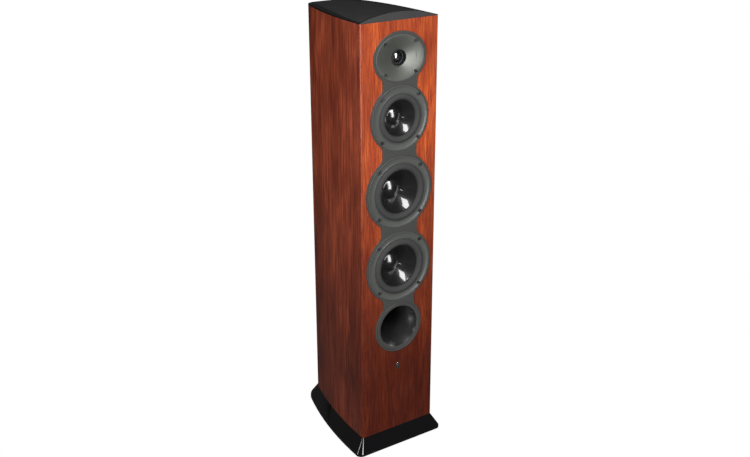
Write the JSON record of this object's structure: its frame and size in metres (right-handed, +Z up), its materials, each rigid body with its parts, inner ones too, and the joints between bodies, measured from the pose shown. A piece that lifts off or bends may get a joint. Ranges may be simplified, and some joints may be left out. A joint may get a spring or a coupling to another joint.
{
  "type": "floorstanding speaker",
  "caption": "Tall bowed cabinet with an oval waveguide tweeter, midrange, woofers and flared port in a dark fascia, on a flared plinth with levelling feet.",
  "frame": {"origin": "on the floor, under the middle of the plinth's bounding box", "axes": "+Z up, the drivers face -Y, +X is on the right of someone who faces the drivers"},
  "size_m": [0.246, 0.3446, 1.0621],
  "materials": {
    "veneer": "lacquered reddish-brown veneer, gloss",
    "board": "raw fibreboard",
    "cap": "satin black",
    "fascia": "satin dark grey",
    "badge": "polished",
    "plinth": "gloss black lacquer",
    "steel": "plated",
    "screw": "black oxide",
    "port": "gloss black",
    "frame": "satin dark grey paint",
    "rubber": "soft matt",
    "cone": "gloss black",
    "dust_cap": "gloss black",
    "copper": "wound wire",
    "cloth": "resin-treated cloth",
    "ferrite": "dark ceramic",
    "waveguide": "satin grey",
    "lens": "black",
    "dome": "dark satin metal",
    "terminal": "black",
    "gold": "gold plated",
    "circuit": "circuit board with coils and capacitors",
    "cap_red": "clear red over metal",
    "cap_black": "black"
  },
  "bodies": {
    "root": {"front_baffle": "veneer", "side_panel_left": "veneer", "side_panel_right": "veneer", "back_panel": "veneer", "top_panel": "board", "bottom_panel": "board", "chamber_shelf": "board", "shelf_braces": "board", "top_cap": "cap", "front_fascia": "fascia", "badge": "badge", "plinth": "plinth", "plinth_bolts": "screw", "port_tube": "port", "driver_screws": "screw", "midrange_frame": "frame", "midrange_surround": "rubber", "midrange_spider": "cloth", "midrange_magnet": "ferrite", "midrange_pole_plates": "steel", "woofer_1_frame": "frame", "woofer_1_surround": "rubber", "woofer_1_spider": "cloth", "woofer_1_magnet": "ferrite", "woofer_1_pole_plates": "steel", "woofer_2_frame": "frame", "woofer_2_surround": "rubber", "woofer_2_spider": "cloth", "woofer_2_magnet": "ferrite", "woofer_2_pole_plates": "steel", "tweeter_faceplate": "waveguide", "tweeter_lens": "lens", "tweeter_surround": "rubber", "tweeter_motor": "steel", "terminal_plate": "terminal", "post_studs": "gold", "crossover_board": "circuit"},
    "midrange_diaphragm": {"midrange_cone": "cone", "midrange_dust_cap": "dust_cap", "midrange_voice_coil": "copper"},
    "woofer_1_diaphragm": {"woofer_1_cone": "cone", "woofer_1_dust_cap": "dust_cap", "woofer_1_voice_coil": "copper"},
    "woofer_2_diaphragm": {"woofer_2_cone": "cone", "woofer_2_dust_cap": "dust_cap", "woofer_2_voice_coil": "copper"},
    "tweeter_diaphragm": {"tweeter_dome": "dome", "tweeter_voice_coil": "copper"},
    "foot_pad_1": {"foot_pad_1": "steel"},
    "foot_stem_1": {"foot_stem_1": "steel"},
    "foot_pad_2": {"foot_pad_2": "steel"},
    "foot_stem_2": {"foot_stem_2": "steel"},
    "foot_pad_3": {"foot_pad_3": "steel"},
    "foot_stem_3": {"foot_stem_3": "steel"},
    "foot_pad_4": {"foot_pad_4": "steel"},
    "foot_stem_4": {"foot_stem_4": "steel"},
    "post_washer_black": {"post_washer_black": "gold"},
    "post_cap_black": {"post_cap_black": "cap_black"},
    "post_washer_red": {"post_washer_red": "gold"},
    "post_cap_red": {"post_cap_red": "cap_red"}
  },
  "joints": [
    {"name": "midrange_stroke", "type": "slide", "parent": "root", "child": "midrange_diaphragm", "axis": [0, -1, 0], "range_m": [-0.003, 0.003], "stiffness_N_per_m": 1200, "deforming": ["midrange_surround", "midrange_spider"]},
    {"name": "woofer_1_stroke", "type": "slide", "parent": "root", "child": "woofer_1_diaphragm", "axis": [0, -1, 0], "range_m": [-0.006, 0.006], "stiffness_N_per_m": 1200, "deforming": ["woofer_1_surround", "woofer_1_spider"]},
    {"name": "woofer_2_stroke", "type": "slide", "parent": "root", "child": "woofer_2_diaphragm", "axis": [0, -1, 0], "range_m": [-0.006, 0.006], "stiffness_N_per_m": 1200, "deforming": ["woofer_2_surround", "woofer_2_spider"]},
    {"name": "tweeter_stroke", "type": "slide", "parent": "root", "child": "tweeter_diaphragm", "axis": [0, -1, 0], "range_m": [-0.0004, 0.0004], "stiffness_N_per_m": 1000, "deforming": ["tweeter_surround"]},
    {"name": "foot_1_rise", "type": "slide", "parent": "root", "child": "foot_pad_1", "axis": [0, 0, -1], "range_m": [0, 0.01]},
    {"name": "foot_1_turn", "type": "hinge", "parent": "foot_pad_1", "child": "foot_stem_1", "pos_m": [-0.088, -0.13375, 0.01], "axis": [0, 0, -1], "range_deg": [0, 2880]},
    {"name": "foot_2_rise", "type": "slide", "parent": "root", "child": "foot_pad_2", "axis": [0, 0, -1], "range_m": [0, 0.01]},
    {"name": "foot_2_turn", "type": "hinge", "parent": "foot_pad_2", "child": "foot_stem_2", "pos_m": [0.088, -0.13375, 0.01], "axis": [0, 0, -1], "range_deg": [0, 2880]},
    {"name": "foot_3_rise", "type": "slide", "parent": "root", "child": "foot_pad_3", "axis": [0, 0, -1], "range_m": [0, 0.01]},
    {"name": "foot_3_turn", "type": "hinge", "parent": "foot_pad_3", "child": "foot_stem_3", "pos_m": [-0.05, 0.11225, 0.01], "axis": [0, 0, -1], "range_deg": [0, 2880]},
    {"name": "foot_4_rise", "type": "slide", "parent": "root", "child": "foot_pad_4", "axis": [0, 0, -1], "range_m": [0, 0.01]},
    {"name": "foot_4_turn", "type": "hinge", "parent": "foot_pad_4", "child": "foot_stem_4", "pos_m": [0.05, 0.11225, 0.01], "axis": [0, 0, -1], "range_deg": [0, 2880]},
    {"name": "post_black_open", "type": "slide", "parent": "root", "child": "post_washer_black", "axis": [0, 1, 0], "range_m": [0, 0.008]},
    {"name": "post_black_turn", "type": "hinge", "parent": "post_washer_black", "child": "post_cap_black", "pos_m": [0, 0.15425, 0.177], "axis": [0, 1, 0], "range_deg": [0, 3600]},
    {"name": "post_red_open", "type": "slide", "parent": "root", "child": "post_washer_red", "axis": [0, 1, 0], "range_m": [0, 0.008]},
    {"name": "post_red_turn", "type": "hinge", "parent": "post_washer_red", "child": "post_cap_red", "pos_m": [0, 0.15425, 0.215], "axis": [0, 1, 0], "range_deg": [0, 3600]}
  ],
  "couplings": [
    {"joint": "foot_1_turn", "follows": "foot_1_rise", "rad_per_m": 5026.5},
    {"joint": "foot_2_turn", "follows": "foot_2_rise", "rad_per_m": 5026.5},
    {"joint": "foot_3_turn", "follows": "foot_3_rise", "rad_per_m": 5026.5},
    {"joint": "foot_4_turn", "follows": "foot_4_rise", "rad_per_m": 5026.5},
    {"joint": "post_black_turn", "follows": "post_black_open", "rad_per_m": 7854},
    {"joint": "post_red_turn", "follows": "post_red_open", "rad_per_m": 7854}
  ]
}
